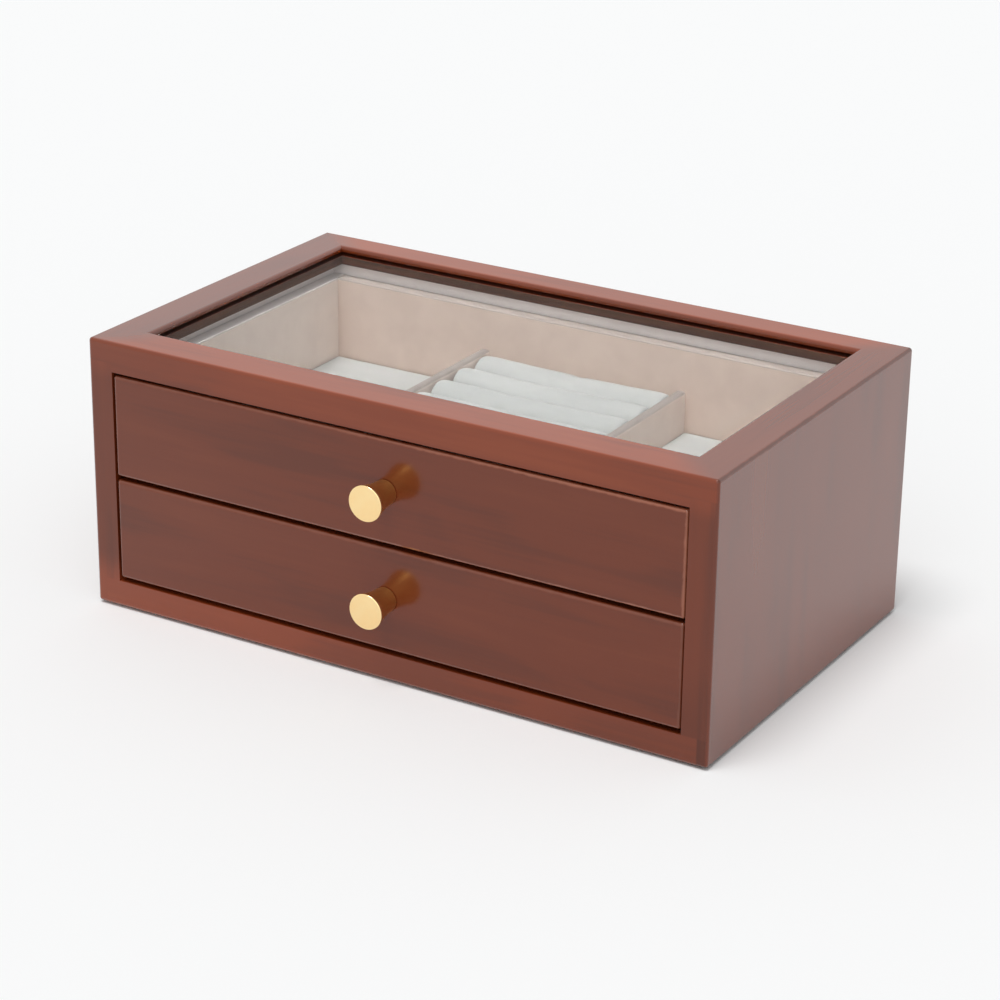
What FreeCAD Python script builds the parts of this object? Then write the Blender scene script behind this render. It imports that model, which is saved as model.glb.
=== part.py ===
import FreeCAD, Part
import os
from math import sqrt

# A wooden jewelry box with a fixed glass top and two lined drawers, one above the other.
# Millimetres. X runs left to right, Y front to back and Z up, from the middle of the base.

# Cabinet
box_width = 300.0
box_depth = 180.0
box_height = 122.0
edge_round = 1.5            # soft outer edges, all round the box
side_thickness = 12.0
back_thickness = 12.0
bottom_thickness = 12.0
rebate_lip = 5.0            # wood left outside the rebates that take the bottom and the back
top_rail_height = 4.0       # strip under the top frame, over the upper drawer front

# Glazed top frame
side_rail_width = 19.0
front_rail_width = 19.5
back_rail_width = 15.5
lip_thickness = 2.5         # wood above the glass
lip_width = 5.0             # how far that wood reaches in over the glass
lip_round = 1.8
glass_thickness = 3.0
glass_clearance = 0.4       # round the edge of the glass, inside its rebate
bead_height = 4.0           # strips that hold the glass up from below
tongue_thickness = 3.0      # loose tongues that hold the frame on the side panels
tongue_in_frame = 4.0
tongue_in_side = 5.0
tongue_length = 120.0

# Drawer bays
shelf_thickness = 4.0
shelf_housing = 4.0         # depth of the grooves that hold the shelf
shelf_setback = 1.0         # shelf edge behind the drawer fronts
bay_lining_thickness = 0.5
running_clearance = 0.5     # each side of a drawer, and behind it
slide_clearance = 0.3       # under a drawer

# Drawers
front_thickness = 12.0
front_edge_round = 1.5
front_corner_round = 1.0
gap_under_front = 1.8
gap_between_fronts = 1.8
gap_over_front = 1.4
gap_beside_front = 0.6
wall_thickness = 5.5
wall_setdown = 2.5          # how much lower the walls are than the front is tall
wall_rebate = 4.0           # how deep the side walls sit in the back of the front
back_housing = 2.0          # how deep the back wall sits in the side walls
floor_thickness = 3.0
floor_rise = 1.5            # groove for the floor, above the lower edge of the walls
floor_groove = 2.5

# Lining, pads and ring rolls
lining_thickness = 0.7
pad_thickness = 1.2
pad_round = 0.5
pad_gap = 0.3
divider_thickness = 4.5
divider_height = 20.0
divider_centre = 50.2       # from the middle of the drawer
divider_round = 1.2
roll_count = 8
roll_height = 19.8
roll_crown = 7.5            # rise of the rounded top over the shoulders
roll_gap = 0.3              # between one roll and the next, and at their ends
roll_foot_draw = 0.8        # each side is drawn in by this much at the foot
roll_end_draw = 2.0         # the ends are drawn in by this much
roll_end_length = 3.5       # over this length
roll_end_steps = (0.0, 0.12, 0.4, 1.0)  # shares of that length at which the ends are shaped

# Knobs
knob_length = 15.0
knob_face_radius = 7.8
knob_base_radius = 5.6
knob_dip = 0.6              # hollow of the flared side
knob_land = 0.9             # straight rim behind the face
knob_chamfer = 0.4
screw_radius = 2.0
screw_clearance = 0.25
screw_thread_gap = 0.05
screw_engagement = 8.0
screw_end_room = 1.0
screw_head_radius = 3.75
screw_head_height = 2.4
screw_head_room = 0.3

# Cabinet levels and faces that the other pieces share
half_width = box_width / 2
half_depth = box_depth / 2
bay_half_width = half_width - side_thickness
bay_back = half_depth - back_thickness
frame_thickness = lip_thickness + glass_thickness + bead_height
frame_bottom = box_height - frame_thickness
bay_top = frame_bottom - top_rail_height
rebate_half_width = half_width - rebate_lip

# Drawer levels and faces
drawer_half_width = bay_half_width - bay_lining_thickness - running_clearance
front_face = -half_depth
front_back = front_face + front_thickness
front_half_width = bay_half_width - gap_beside_front
front_height = (bay_top - bottom_thickness - gap_under_front - gap_between_fronts - gap_over_front) / 2
lower_front_bottom = bottom_thickness + gap_under_front
upper_front_bottom = lower_front_bottom + front_height + gap_between_fronts
shelf_middle = upper_front_bottom - gap_between_fronts / 2
shelf_bottom = shelf_middle - shelf_thickness / 2
shelf_top = shelf_middle + shelf_thickness / 2
shelf_front = front_back + shelf_setback
wall_height = front_height - wall_setdown
wall_inside = drawer_half_width - wall_thickness
back_outside = bay_back - bay_lining_thickness - running_clearance
back_inside = back_outside - wall_thickness

# Inside of the lined drawer
inner_half_width = wall_inside - lining_thickness
inner_front = front_back + lining_thickness
inner_back = back_inside - lining_thickness


def vec(x, y, z):
    return FreeCAD.Vector(x, y, z)


def block(x, y, z):
    """A box between the two values given for each direction."""
    size = [max(pair) - min(pair) for pair in (x, y, z)]
    return Part.makeBox(*size, vec(min(x), min(y), min(z)))


def mirrored(shape):
    """The same piece on the other side of the box."""
    return shape.mirror(vec(0, 0, 0), vec(1, 0, 0))


def prism(points, height):
    """A flat outline raised straight up."""
    outline = Part.makePolygon(points + points[:1])
    return Part.Face(outline).extrude(vec(0, 0, height))


def rod(radius, length, start, direction):
    return Part.makeCylinder(radius, length, start, direction)


def edges_in_plane(shape, axis, value):
    """The edges whose ends and middle all lie at one value of x, y or z."""
    def in_plane(edge):
        box = edge.BoundBox
        low = (box.XMin, box.YMin, box.ZMin)[axis]
        high = (box.XMax, box.YMax, box.ZMax)[axis]
        return abs(low - value) < 1e-4 and abs(high - value) < 1e-4
    return [edge for edge in shape.Edges if in_plane(edge)]


def edges_along(shape, axis):
    """The straight edges that run along x, y or z."""
    def runs_along(edge):
        box = edge.BoundBox
        lengths = [box.XLength, box.YLength, box.ZLength]
        own = lengths.pop(axis)
        return own > 1e-3 and max(lengths) < 1e-4
    return [edge for edge in shape.Edges if runs_along(edge)]


def rounded_envelope():
    """The whole box with every outer edge rounded, which trims each outer piece."""
    whole = block((-half_width, half_width), (-half_depth, half_depth), (0, box_height))
    return whole.makeFillet(edge_round, whole.Edges)


def frame_tongue():
    """Right-hand loose tongue, half in the side panel and half in the frame above it."""
    middle = bay_half_width + side_thickness / 2
    x = (middle - tongue_thickness / 2, middle + tongue_thickness / 2)
    y = (-tongue_length / 2, tongue_length / 2)
    return block(x, y, (frame_bottom - tongue_in_side, frame_bottom + tongue_in_frame))


def bottom_panel(envelope):
    """The base, whose front edge shows under the lower drawer."""
    panel = block((-rebate_half_width, rebate_half_width), (-half_depth, half_depth), (0, bottom_thickness))
    return panel.common(envelope)


def back_panel(envelope):
    x = (-rebate_half_width, rebate_half_width)
    return block(x, (bay_back, half_depth), (bottom_thickness, frame_bottom)).common(envelope)


def drawer_shelf():
    """Thin board between the drawers, housed in the side panels and hidden by the fronts."""
    reach = bay_half_width + shelf_housing
    return block((-reach, reach), (shelf_front, bay_back), (shelf_bottom, shelf_top))


def side_panel(envelope):
    """Right side panel with its rebates for base and back and its grooves for shelf and tongue."""
    panel = block((bay_half_width, half_width), (-half_depth, half_depth), (0, frame_bottom)).common(envelope)
    base_rebate = block((bay_half_width, rebate_half_width), (-half_depth, half_depth), (0, bottom_thickness))
    back_rebate = block((bay_half_width, rebate_half_width), (bay_back, half_depth), (0, frame_bottom))
    for cut in (base_rebate, back_rebate, drawer_shelf(), frame_tongue()):
        panel = panel.cut(cut)
    return panel


def front_top_rail():
    """Strip between the sides, under the front of the top frame."""
    x = (-bay_half_width, bay_half_width)
    return block(x, (front_face, front_back), (bay_top, frame_bottom))


def sight_opening(reach=0.0):
    """Corners of the opening over the glass, or of a larger one by this reach."""
    x = half_width - side_rail_width + reach
    return (-x, x), (-half_depth + front_rail_width - reach, half_depth - back_rail_width + reach)


def mitre_wedges(height, bottom):
    """Four prisms that meet on the mitres, keyed by side, for parting a ring into its rails."""
    (left, right), (front, back) = sight_opening()
    corners = {}
    for x_name, x_out, x_in in (("left", -half_width, left), ("right", half_width, right)):
        for y_name, y_out, y_in in (("front", -half_depth, front), ("back", half_depth, back)):
            outer = vec(x_out, y_out, bottom)
            inner = vec(x_in, y_in, bottom)
            along = inner - outer
            corners[x_name, y_name] = (outer - along, inner + along)
    rounds = {
        "front": (("left", "front"), ("right", "front")),
        "back": (("left", "back"), ("right", "back")),
        "left": (("left", "front"), ("left", "back")),
        "right": (("right", "front"), ("right", "back")),
    }
    wedges = {}
    for name, (first, second) in rounds.items():
        (outer_a, inner_a), (outer_b, inner_b) = corners[first], corners[second]
        wedges[name] = prism([outer_a, outer_b, inner_b, inner_a], height)
    return wedges


def top_frame_rails(envelope):
    """Mitred rails of the top, rebated underneath for the glass and its beads."""
    (left, right), (front, back) = sight_opening()
    across = (-half_width, half_width)
    along = (-half_depth, half_depth)
    spans = {
        "front": (across, (-half_depth, front)),
        "back": (across, (back, half_depth)),
        "left": ((-half_width, left), along),
        "right": ((right, half_width), along),
    }
    glass_rebate = block(*sight_opening(lip_width), (frame_bottom, box_height - lip_thickness))
    wedges = mitre_wedges(frame_thickness, frame_bottom)
    rails = {}
    for name, (x, y) in spans.items():
        rail = block(x, y, (frame_bottom, box_height))
        inner_edges = [edge for edge in edges_in_plane(rail, 2, box_height) if inside_outline(edge)]
        rail = rail.makeFillet(lip_round, inner_edges)
        rail = rail.cut(glass_rebate).common(wedges[name]).common(envelope)
        rails[name] = rail.cut(frame_tongue()).cut(mirrored(frame_tongue()))
    return rails


def inside_outline(edge):
    """True for an edge of the opening, false for one on the outside of the box."""
    middle = edge.CenterOfMass
    return abs(middle.x) < half_width - 1e-3 and abs(middle.y) < half_depth - 1e-3


def glass_panel():
    x, y = sight_opening(lip_width - glass_clearance)
    return block(x, y, (frame_bottom + bead_height, box_height - lip_thickness))


def glass_beads():
    """Mitred strips that fill the rebate under the glass, flush with the opening."""
    bead_z = (frame_bottom, frame_bottom + bead_height)
    ring = block(*sight_opening(lip_width), bead_z).cut(block(*sight_opening(), bead_z))
    wedges = mitre_wedges(bead_height, frame_bottom)
    return {name: ring.common(wedge) for name, wedge in wedges.items()}


def bay_linings():
    """Thin cloth on the walls of the upper bay, seen through the glass over the drawer."""
    z = (shelf_top, frame_bottom)
    back_face = bay_back - bay_lining_thickness
    right = block((bay_half_width - bay_lining_thickness, bay_half_width), (shelf_front, back_face), z)
    back = block((-bay_half_width, bay_half_width), (back_face, bay_back), z)
    return {"left": mirrored(right), "right": right, "back": back}


def drawer_parts(front_bottom, box_bottom):
    """The wooden pieces of one drawer: front, two side walls, back wall and floor."""
    wall_top = box_bottom + wall_height
    floor_bottom = box_bottom + floor_rise
    floor_reach = wall_inside + floor_groove
    floor_y = (front_back - floor_groove, back_inside + floor_groove)
    floor = block((-floor_reach, floor_reach), floor_y, (floor_bottom, floor_bottom + floor_thickness))

    right_wall = block(
        (wall_inside, drawer_half_width), (front_back - wall_rebate, back_outside), (box_bottom, wall_top)
    )
    back_reach = wall_inside + back_housing
    back_wall = block((-back_reach, back_reach), (back_inside, back_outside), (box_bottom, wall_top))

    front_x = (-front_half_width, front_half_width)
    front = block(front_x, (front_face, front_back), (front_bottom, front_bottom + front_height))
    rebate_y = (front_back - wall_rebate, front_back)
    end_rebate = block((wall_inside, front_half_width), rebate_y, (box_bottom, wall_top))
    front = front.makeFillet(front_corner_round, edges_along(front, 1))
    front = front.makeFillet(front_edge_round, edges_in_plane(front, 1, front_face))
    front = front.cut(end_rebate).cut(mirrored(end_rebate)).cut(floor)
    front = front.cut(knob_screw_hole(front_bottom + front_height / 2))

    right_wall = right_wall.cut(back_wall).cut(floor)
    return {
        "front": front,
        "left_wall": mirrored(right_wall),
        "right_wall": right_wall,
        "back_wall": back_wall.cut(floor),
        "floor": floor,
    }


def drawer_linings(box_bottom):
    """Cloth on the inside of the walls, folded over the top of the side and back walls."""
    wall_top = box_bottom + wall_height
    z = (floor_top(box_bottom), wall_top)
    fold_z = (wall_top, wall_top + lining_thickness)

    side = block((inner_half_width, wall_inside), (front_back, back_inside), z)
    side_fold = block((inner_half_width, drawer_half_width), (front_back, back_outside), fold_z)
    right = side.fuse(side_fold).removeSplitter()

    x = (-inner_half_width, inner_half_width)
    back = block(x, (inner_back, back_inside), z)
    back_fold = block(x, (inner_back, back_outside), fold_z)
    return {
        "left": mirrored(right),
        "right": right,
        "back": back.fuse(back_fold).removeSplitter(),
        "front": block(x, (front_back, inner_front), z),
    }


def floor_top(box_bottom):
    return box_bottom + floor_rise + floor_thickness


def pad(x, y, bottom):
    """A thin padded card with soft upper edges."""
    card = block(x, y, (bottom, bottom + pad_thickness))
    return card.makeFillet(pad_round, edges_in_plane(card, 2, bottom + pad_thickness))


def floor_pad(x_low, x_high, box_bottom):
    """A pad that covers the floor between two upright faces."""
    x = (x_low + pad_gap, x_high - pad_gap)
    return pad(x, (inner_front + pad_gap, inner_back - pad_gap), floor_top(box_bottom))


def divider(box_bottom):
    """Right-hand partition, a cloth-covered board with a soft upper edge."""
    bottom = floor_top(box_bottom)
    x = (divider_centre - divider_thickness / 2, divider_centre + divider_thickness / 2)
    board = block(x, (inner_front, inner_back), (bottom, bottom + divider_height))
    top_edges = edges_in_plane(board, 2, bottom + divider_height)
    long_edges = [edge for edge in top_edges if edge.BoundBox.YLength > edge.BoundBox.XLength]
    return board.makeFillet(divider_round, long_edges)


def roll_section(x, middle, foot, shrink, half_thickness):
    """Outline of a ring roll across its length: narrow foot, straight sides and a rounded crown."""
    shoulder_half = half_thickness - shrink
    foot_half = shoulder_half - roll_foot_draw
    shoulder = foot + roll_height - roll_crown
    crest = foot + roll_height - shrink
    foot_front = vec(x, middle - foot_half, foot)
    foot_back = vec(x, middle + foot_half, foot)
    shoulder_front = vec(x, middle - shoulder_half, shoulder)
    shoulder_back = vec(x, middle + shoulder_half, shoulder)
    crown = Part.Arc(shoulder_back, vec(x, middle, crest), shoulder_front)
    sides = [
        Part.LineSegment(foot_front, foot_back),
        Part.LineSegment(foot_back, shoulder_back),
        crown,
        Part.LineSegment(shoulder_front, foot_front),
    ]
    return Part.Wire([side.toShape() for side in sides])


def ring_rolls(box_bottom):
    """Soft rolls across the middle of the drawer, from front to back, that grip rings between them."""
    foot = floor_top(box_bottom) + pad_thickness
    pitch = (inner_back - inner_front) / roll_count
    half_thickness = (pitch - roll_gap) / 2
    end = divider_centre - divider_thickness / 2 - roll_gap
    ends = []
    for step in roll_end_steps:
        ends.append((end - step * roll_end_length, roll_end_draw * (1 - sqrt(step * (2 - step)))))
    stations = [(-x, shrink) for x, shrink in ends] + ends[::-1]
    rolls = []
    for index in range(roll_count):
        middle = inner_front + pitch * (index + 0.5)
        wires = [roll_section(x, middle, foot, shrink, half_thickness) for x, shrink in stations]
        rolls.append(Part.makeLoft(wires, True, True))
    return rolls


def knob(middle):
    """Flared brass knob turned about the axis of its screw, with a flat face."""
    face = front_face - knob_length
    rim = face + knob_land
    # The middle pole of a curve with three poles lies twice as far out as the curve itself.
    hollow_radius = (knob_face_radius + knob_base_radius) / 2 - 2 * knob_dip
    points = [
        vec(0, front_face, 0),
        vec(0, face, 0),
        vec(knob_face_radius - knob_chamfer, face, 0),
        vec(knob_face_radius, face + knob_chamfer, 0),
        vec(knob_face_radius, rim, 0),
    ]
    base = vec(knob_base_radius, front_face, 0)
    flare = Part.BezierCurve()
    flare.setPoles([points[-1], vec(hollow_radius, (rim + front_face) / 2, 0), base])
    edges = [Part.LineSegment(a, b).toShape() for a, b in zip(points, points[1:])]
    edges += [flare.toShape(), Part.LineSegment(base, points[0]).toShape()]
    body = Part.Face(Part.Wire(edges)).revolve(vec(0, 0, 0), vec(0, 1, 0), 360)
    bore_depth = screw_engagement + screw_end_room
    bore = rod(screw_radius + screw_thread_gap, bore_depth, vec(0, front_face, 0), vec(0, -1, 0))
    return body.cut(bore).translated(vec(0, 0, middle))


def screw_seat():
    """Face inside the front that the screw head bears on."""
    return front_back - screw_head_height - screw_head_room


def knob_screw(middle):
    """Screw from inside the drawer, with its head sunk under the lining."""
    seat = vec(0, screw_seat(), middle)
    length = screw_seat() - front_face + screw_engagement
    head = rod(screw_head_radius, screw_head_height, seat, vec(0, 1, 0))
    return head.fuse(rod(screw_radius, length, seat, vec(0, -1, 0)))


def knob_screw_hole(middle):
    seat = vec(0, screw_seat(), middle)
    recess = rod(screw_head_radius + screw_clearance, front_back - screw_seat(), seat, vec(0, 1, 0))
    return recess.fuse(rod(screw_radius + screw_clearance, front_thickness, seat, vec(0, -1, 0)))


def cabinet():
    """Every fixed piece: panels, shelf, glazed frame and the lining of the upper bay."""
    envelope = rounded_envelope()
    right = side_panel(envelope)
    pieces = {
        "left_side_panel": mirrored(right),
        "right_side_panel": right,
        "back_panel": back_panel(envelope),
        "bottom_panel": bottom_panel(envelope),
        "front_top_rail": front_top_rail(),
        "drawer_shelf": drawer_shelf(),
        "glass_panel": glass_panel(),
        "frame_tongues": Part.makeCompound([frame_tongue(), mirrored(frame_tongue())]),
    }
    for name, rail in top_frame_rails(envelope).items():
        pieces[f"top_frame_{name}_rail"] = rail
    for name, bead in glass_beads().items():
        pieces[f"glass_bead_{name}"] = bead
    for name, cloth in bay_linings().items():
        pieces[f"bay_lining_{name}"] = cloth
    return pieces


def drawer(label, front_bottom, box_bottom):
    """One drawer with its lining, knob and knob screw."""
    middle = front_bottom + front_height / 2
    pieces = {f"{label}_knob": knob(middle), f"{label}_knob_screw": knob_screw(middle)}
    for name, piece in drawer_parts(front_bottom, box_bottom).items():
        pieces[f"{label}_drawer_{name}"] = piece
    for name, cloth in drawer_linings(box_bottom).items():
        pieces[f"{label}_lining_{name}"] = cloth
    return pieces


def upper_fittings(box_bottom):
    """Partitions, pads and ring rolls inside the upper drawer."""
    right_divider = divider(box_bottom)
    inner_face = divider_centre - divider_thickness / 2
    outer_face = divider_centre + divider_thickness / 2
    right_pad = floor_pad(outer_face, inner_half_width, box_bottom)
    pieces = {
        "left_divider": mirrored(right_divider),
        "right_divider": right_divider,
        "left_floor_pad": mirrored(right_pad),
        "right_floor_pad": right_pad,
        "ring_roll_base": floor_pad(-inner_face, inner_face, box_bottom),
    }
    for number, roll in enumerate(ring_rolls(box_bottom), start=1):
        pieces[f"ring_roll_{number}"] = roll
    return pieces


def main():
    os.makedirs("parts", exist_ok=True)
    lower_box_bottom = bottom_thickness + slide_clearance
    upper_box_bottom = shelf_top + slide_clearance
    pieces = cabinet()
    pieces.update(drawer("upper", upper_front_bottom, upper_box_bottom))
    pieces.update(upper_fittings(upper_box_bottom))
    pieces.update(drawer("lower", lower_front_bottom, lower_box_bottom))
    pieces["lower_floor_pad"] = floor_pad(-inner_half_width, inner_half_width, lower_box_bottom)
    for name, shape in pieces.items():
        shape.exportStep(f"parts/{name}.step")
        solids = len(shape.Solids)
        print(name, "valid" if shape.isValid() else "not valid", solids, round(shape.Volume, 1))


main()
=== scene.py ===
from math import ceil, cos, pi, radians, sin

import bmesh
import bpy
from bpy.props import FloatProperty, FloatVectorProperty, IntProperty, PointerProperty
from mathutils import Color, Matrix, Vector, noise


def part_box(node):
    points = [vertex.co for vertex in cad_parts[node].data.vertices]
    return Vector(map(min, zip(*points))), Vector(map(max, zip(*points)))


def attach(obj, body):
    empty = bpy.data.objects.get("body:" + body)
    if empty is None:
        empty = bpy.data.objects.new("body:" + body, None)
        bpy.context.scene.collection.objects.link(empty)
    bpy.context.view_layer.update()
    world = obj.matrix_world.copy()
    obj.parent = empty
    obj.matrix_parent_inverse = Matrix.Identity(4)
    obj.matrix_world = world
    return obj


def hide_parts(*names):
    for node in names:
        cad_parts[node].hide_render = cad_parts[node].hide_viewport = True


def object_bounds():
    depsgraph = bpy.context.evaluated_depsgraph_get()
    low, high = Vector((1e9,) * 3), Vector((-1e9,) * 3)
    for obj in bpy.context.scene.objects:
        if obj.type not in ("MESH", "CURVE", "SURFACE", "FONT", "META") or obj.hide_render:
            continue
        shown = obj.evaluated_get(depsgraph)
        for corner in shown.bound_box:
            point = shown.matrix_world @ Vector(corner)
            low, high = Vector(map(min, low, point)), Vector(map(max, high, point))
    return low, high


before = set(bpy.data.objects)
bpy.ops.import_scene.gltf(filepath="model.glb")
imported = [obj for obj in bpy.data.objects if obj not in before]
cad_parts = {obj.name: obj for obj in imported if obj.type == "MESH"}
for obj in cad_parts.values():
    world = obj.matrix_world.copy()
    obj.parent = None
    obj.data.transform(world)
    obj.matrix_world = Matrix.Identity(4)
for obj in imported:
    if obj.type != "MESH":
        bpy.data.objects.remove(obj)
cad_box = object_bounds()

bl_info = {
    "name": "Jewelry Box",
    "version": (1, 0, 0),
    "blender": (4, 5, 0),
    "location": "View3D > Sidebar > Jewelry Box",
    "description": "Dresses a jewelry box: lacquered wood, glass top, brass knobs and lined drawers",
    "category": "Object",
}

MM = 0.001
NEAR = 0.01 * MM  # places closer than this count as one
ORIGIN = (0.0, 0.0, 0.0)
EVENLY = (1.0, 1.0, 1.0)
WHITE = (1.0, 1.0, 1.0, 1.0)
DRAWERS = ("upper", "lower")

# Which way the cloth on each wall faces.
FACING = {
    "left": Vector((1, 0, 0)),
    "right": Vector((-1, 0, 0)),
    "back": Vector((0, -1, 0)),
    "front": Vector((0, 1, 0)),
}

# A board's seat in the wood shifts its grain. Boards that look like one piece share a seat.
SEAT_STEP = (0.37, 0.11, 0.23)
SIDE_SEAT = 1
FRONT_SEAT = 3
DRAWER_SEAT = 31
SEATS_IN_DRAWER = 8

# Which way the grain of each board runs, and the board's seat.
CASE_BOARDS = {
    "left_side_panel": ("Z", SIDE_SEAT),
    "right_side_panel": ("Z", SIDE_SEAT),
    "back_panel": ("X", 7),
    "bottom_panel": ("X", 8),
    "front_top_rail": ("X", FRONT_SEAT),
    "top_frame_front_rail": ("X", FRONT_SEAT),
    "top_frame_back_rail": ("X", 11),
    "top_frame_left_rail": ("Y", 12),
    "top_frame_right_rail": ("Y", 13),
}
GLASS_BEADS = {
    "glass_bead_front": ("X", 14),
    "glass_bead_back": ("X", 15),
    "glass_bead_left": ("Y", 16),
    "glass_bead_right": ("Y", 17),
}
HIDDEN_BOARDS = {"drawer_shelf": ("X", 18), "frame_tongues": ("Y", 19)}

# The same for the boards of a drawer, with seats counted from the seat of its front.
DRAWER_BOARDS = {"left_wall": ("Y", 1), "right_wall": ("Y", 2), "back_wall": ("X", 3), "floor": ("X", 5)}
GRAIN_TURN = {"X": (0, 0, 0), "Y": (0, 0, pi / 2), "Z": (0, pi / 2, 0)}

# How much of its stain each part of the case shows.
SIDE_STAIN = 0.72
LONG_RAIL_STAIN = 1.3  # top of the front and back rails
SHORT_RAIL_STAIN = 0.76  # top of the left and right rails
LEFT_STILE_STAIN = 0.60
RIGHT_STILE_STAIN = (0.53, 0.66)  # at its foot and higher up
BAND_STAIN = (0.76, 0.88)  # strip under the top, at its left end and further on
FOOT_STAIN = (0.98, 0.70)  # edge of the base, from left to right
CORNER_STAIN = 0.44  # front right corner, past the end of the base

# How much of its gloss each part of the case shows, next to the front.
SIDE_GLOSS = 1.06
LONG_RAIL_GLOSS = (0.8, 0.74)  # from the middle to the right
SHORT_RAIL_GLOSS = (1.0, 0.86)  # left rail and right rail
CASE_EDGE_GLOSS = 0.8
PAINTED_EDGE_SHARE = 0.7  # share of the painted edge colour that an edge shows: painted shade on the case, a painted highlight on the drawer fronts

# Colours of the glass, of the light through it and of the screws, and the glass's refraction.
GLASS_TINT = (0.975, 0.985, 0.98, 1.0)
GLASS_SHADOW = (0.96, 0.97, 0.965, 1.0)
GLASS_INDEX = 1.05
STEEL = (0.62, 0.61, 0.59, 1.0)
STEEL_WORN = (0.42, 0.41, 0.39, 1.0)

# Shares of the nap's layers in the colour and in the height of a cloth.
NAP_TONE = {"Brushed": 0.55, "Hairs": 0.35, "Rows": 0.15}
NAP_PILE = {"Rows": 0.4, "Hairs": 0.6}
PRESSED_TONE = {"Brushed": 0.6, "Hairs": 0.4}
PRESSED_PILE = {"Hairs": 1.0}

# Seed of each lining's unevenness, and how often the sheet is cut into cells.
DRAWER_LININGS = {"left": (1, 9), "right": (-1, 9), "back": (2, 11), "front": (3, 40)}
BAY_LININGS = {"left": (24, 40), "right": (25, 40), "back": (24, 40)}
SEEDS_IN_DRAWER = 4
DIVIDER_SEED = 50
PAD_SEED = 70
ROLL_SEED = 90
SEED_STEP = Vector((17.3, 5.1, 9.7))

# The pads and the drawers that they lie in.
PADS = {
    "left_floor_pad": "upper_drawer",
    "right_floor_pad": "upper_drawer",
    "ring_roll_base": "upper_drawer",
    "lower_floor_pad": "lower_drawer",
}

# Steps of a rounded edge, and how often a divider's cover is cut into cells.
ROUND_STEPS = 4
PAD_ROUND_STEPS = 3
DIVIDER_CUTS_ALONG = 47
DIVIDER_CUTS_UP = 9

# An edge that reaches further than these runs along a divider, or up its side.
RUNS_ALONG = 1 * MM
RUNS_UP = 5 * MM

# How far a roll may reach past its solid, so that it stays clear of its neighbours.
ROLL_ROOM = Vector((0.1, 0.08, 0.0)) * MM

# Faces that meet at more than these angles keep a crease between them.
CLOTH_CREASE = radians(60)
DIVIDER_CREASE = radians(50)
KNOB_CREASE = radians(40)

# Faces that meet at more than this angle, in radians, meet at a pad's rim, which is rounded.
PAD_RIM = 1.0


def kind_of_setting(make, **limits):
    """A short way to declare settings of one kind."""

    def declare(name, description, default):
        return make(name=name, description=description, default=default, **limits)

    return declare


colour = kind_of_setting(FloatVectorProperty, subtype="COLOR", size=3, min=0.0, max=1.0)
direction = kind_of_setting(FloatVectorProperty, subtype="DIRECTION")
length = kind_of_setting(FloatProperty, subtype="DISTANCE", unit="LENGTH", min=0.0)
offset = kind_of_setting(FloatProperty, subtype="DISTANCE", unit="LENGTH")
angle = kind_of_setting(FloatProperty, subtype="ANGLE", unit="ROTATION")
share = kind_of_setting(FloatProperty, subtype="FACTOR", min=0.0, max=1.0)
focal = kind_of_setting(FloatProperty, unit="CAMERA", min=1.0)
number = kind_of_setting(FloatProperty, min=0.0)
count = kind_of_setting(IntProperty, min=1)


class WoodFinish(bpy.types.PropertyGroup):
    """Stain and lacquer of the wooden pieces."""

    stain: colour("Stain", "Usual colour of the stained wood", (0.25, 0.046, 0.013))
    stain_deep: colour("Deep stain", "Colour where the grain took more stain", (0.20, 0.039, 0.013))
    stain_warm: colour("Warm stain", "Colour where the wood shows through", (0.275, 0.053, 0.015))
    # The edge colours are painted: the case's darker edges are painted shade, and the drawer fronts' lighter
    # edges are a painted highlight, which on the upper drawer grows towards the right end.
    case_edge: colour("Case edge", "Colour of the case's edges, with more stain", (0.085, 0.026, 0.016))
    rubbed: colour("Rubbed edge", "Colour of drawer edges with the stain rubbed off", (0.40, 0.145, 0.085))
    drawer_edge: colour("Drawer edge", "Colour of drawer edges that are rubbed less", (0.20, 0.06, 0.032))
    bead: colour("Bead", "Colour of the dark strips under the glass", (0.055, 0.025, 0.015))
    bead_warm: colour("Bead grain", "Colour of the grain lines in those strips", (0.13, 0.048, 0.026))
    bare: colour("Bare wood", "Colour of the drawer boxes, which are only oiled", (0.42, 0.24, 0.115))
    bare_deep: colour("Bare grain", "Colour of the grain lines in the oiled wood", (0.28, 0.14, 0.06))
    lacquer_roughness: share("Lacquer roughness", "How much the lacquer blurs what it mirrors", 0.16)
    lacquer_index: number("Lacquer index", "Refraction of the lacquer, for its gloss at a slant", 2.0)
    drawer_shade: share("Drawer shade", "How much stain the drawer fronts show", 0.62)
    gloss_ahead: share("Gloss ahead", "Weight of the lacquer's gloss, seen from straight ahead", 0.36)
    gloss_aslant: share("Gloss aslant", "Weight of the lacquer's gloss, seen at a slant", 0.9)
    rub_width: length("Rub width", "How far the rubbed look reaches from an edge", 1.0 * MM)


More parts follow.
